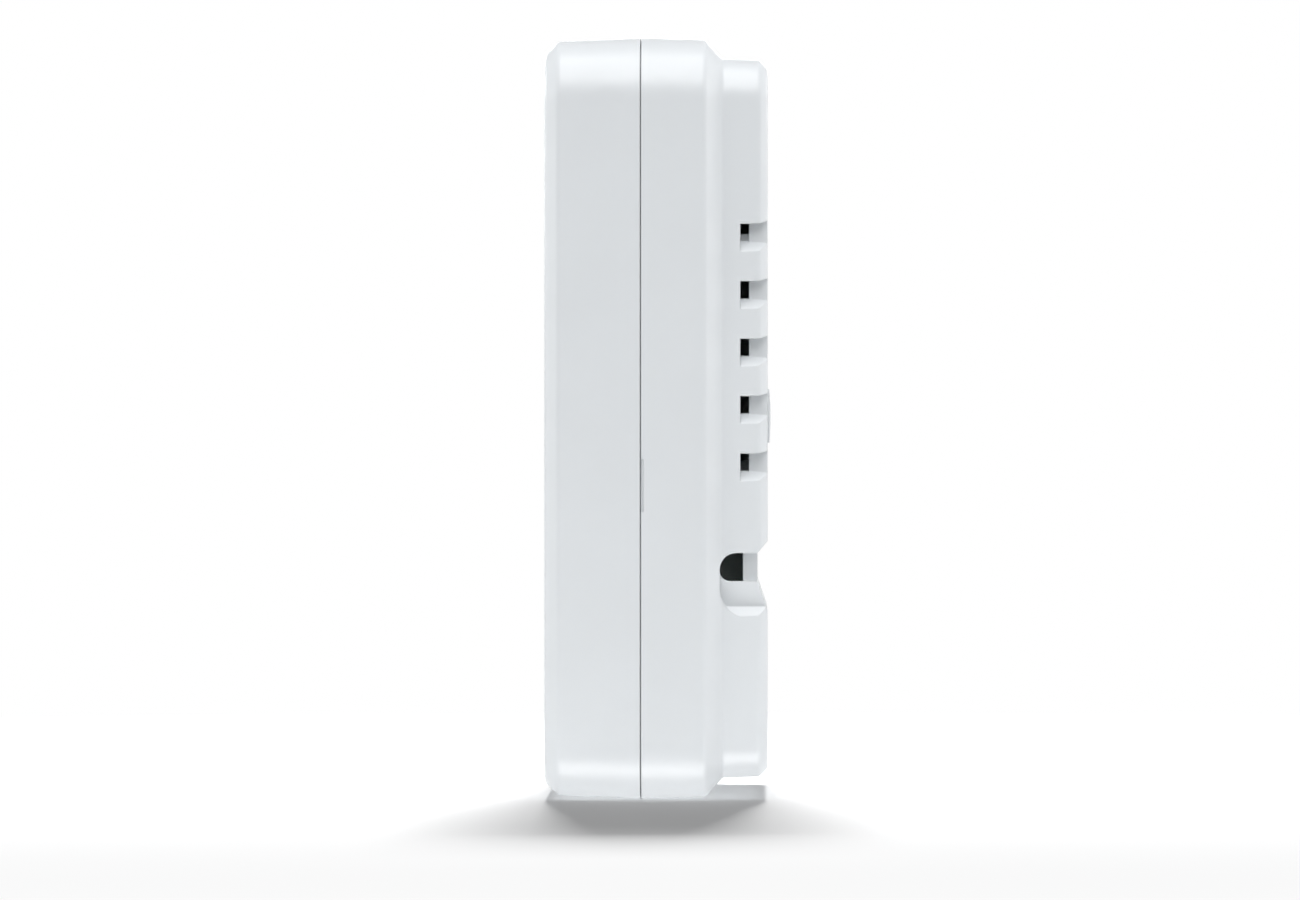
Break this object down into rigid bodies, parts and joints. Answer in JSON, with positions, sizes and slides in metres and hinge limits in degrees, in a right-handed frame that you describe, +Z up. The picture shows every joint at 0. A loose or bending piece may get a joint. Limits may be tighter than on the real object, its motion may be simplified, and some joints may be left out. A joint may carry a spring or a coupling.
{
  "type": "programmable timer",
  "caption": "Wall-mounted programmable heating timer: two-part white case with display, push buttons, mode slider, side louvres, cable entries and relay electronics inside.",
  "frame": {"origin": "centre of the rear face, on the wall's plane, half-way between the two wall screw holes", "axes": "+Z up the wall, +Y out of the back into the wall, front face towards -Y, +X to the right as seen by a person facing the front"},
  "size_m": [0.084, 0.0357, 0.12],
  "materials": {
    "housing_white": "satin white moulded ABS",
    "soft_plug": "soft white plastic",
    "circuit_board": "green solder mask over glass fibre",
    "zinc_steel": "bright zinc plate",
    "terminal_plastic": "grey nylon",
    "plated_brass": "nickel plated brass",
    "relay_case": "blue case",
    "transformer_tape": "yellow tape over a ferrite core",
    "film_capacitor": "yellow box",
    "capacitor_sleeve": "black sleeve",
    "varistor_coat": "blue epoxy",
    "fuse_case": "brown case",
    "chip_black": "black moulding compound",
    "connector_black": "black nylon",
    "clamp_plastic": "light grey nylon",
    "clear_lens": "clear polycarbonate, gloss",
    "frame_plastic": "white ABS",
    "display_glass": "grey-green liquid crystal cell",
    "light_guide": "clear acrylic",
    "contact_rubber": "layered silicone rubber",
    "switch_steel": "tinned steel",
    "cell_steel": "nickel plated steel",
    "led_body": "clear resin",
    "key_grey": "mid grey, fine texture",
    "plunger_black": "black nylon"
  },
  "bodies": {
    "base": {"base_housing": "housing_white", "rear_plug": "soft_plug", "power_board": "circuit_board", "board_screws": "zinc_steel", "terminal_block": "terminal_plastic", "terminal_clamps": "plated_brass", "terminal_screws": "zinc_steel", "relay": "relay_case", "transformer": "transformer_tape", "filter_capacitor": "film_capacitor", "smoothing_capacitors": "capacitor_sleeve", "varistor": "varistor_coat", "fuse": "fuse_case", "bridge_rectifier": "chip_black", "link_socket": "connector_black", "cable_clamp_left": "clamp_plastic", "cable_clamp_right": "clamp_plastic", "clamp_screws": "zinc_steel"},
    "cover": {"front_cover": "housing_white", "cover_hooks": "housing_white", "display_lens": "clear_lens", "display_frame": "frame_plastic", "display_glass": "display_glass", "backlight_panel": "light_guide", "zebra_strips": "contact_rubber", "display_board": "circuit_board", "display_screws": "zinc_steel", "key_switches": "chip_black", "slide_switch_body": "switch_steel", "microcontroller": "chip_black", "crystal": "switch_steel", "cell_holder": "connector_black", "backup_cell": "cell_steel", "link_header": "connector_black", "light_pipes": "light_guide", "status_leds": "led_body"},
    "menu_key": {"menu_button": "key_grey", "menu_plunger": "plunger_black"},
    "minus_key": {"minus_button": "key_grey", "minus_plunger": "plunger_black"},
    "plus_key": {"plus_button": "key_grey", "plus_plunger": "plunger_black"},
    "ok_key": {"ok_button": "key_grey", "ok_plunger": "plunger_black"},
    "boost_key": {"boost_button": "key_grey", "boost_plunger": "plunger_black"},
    "advance_key": {"advance_button": "key_grey", "advance_plunger": "plunger_black"},
    "reset_key": {"reset_button": "key_grey", "reset_plunger": "plunger_black"},
    "mode_knob": {"mode_slider": "key_grey"}
  },
  "joints": [
    {"name": "cover_release", "type": "slide", "parent": "base", "child": "cover", "axis": [0, -1, 0], "range_m": [0, 0.04], "deforming": ["cover_hooks"]},
    {"name": "menu_press", "type": "slide", "parent": "cover", "child": "menu_key", "axis": [0, 1, 0], "range_m": [0, 0.0008], "stiffness_N_per_m": 900},
    {"name": "minus_press", "type": "slide", "parent": "cover", "child": "minus_key", "axis": [0, 1, 0], "range_m": [0, 0.0008], "stiffness_N_per_m": 900},
    {"name": "plus_press", "type": "slide", "parent": "cover", "child": "plus_key", "axis": [0, 1, 0], "range_m": [0, 0.0008], "stiffness_N_per_m": 900},
    {"name": "ok_press", "type": "slide", "parent": "cover", "child": "ok_key", "axis": [0, 1, 0], "range_m": [0, 0.0008], "stiffness_N_per_m": 900},
    {"name": "boost_press", "type": "slide", "parent": "cover", "child": "boost_key", "axis": [0, 1, 0], "range_m": [0, 0.0008], "stiffness_N_per_m": 900},
    {"name": "advance_press", "type": "slide", "parent": "cover", "child": "advance_key", "axis": [0, 1, 0], "range_m": [0, 0.0008], "stiffness_N_per_m": 900},
    {"name": "reset_press", "type": "slide", "parent": "cover", "child": "reset_key", "axis": [0, 1, 0], "range_m": [0, 0.0008], "stiffness_N_per_m": 600},
    {"name": "mode_slide", "type": "slide", "parent": "cover", "child": "mode_knob", "axis": [1, 0, 0], "range_m": [-0.004, 0.004]}
  ]
}
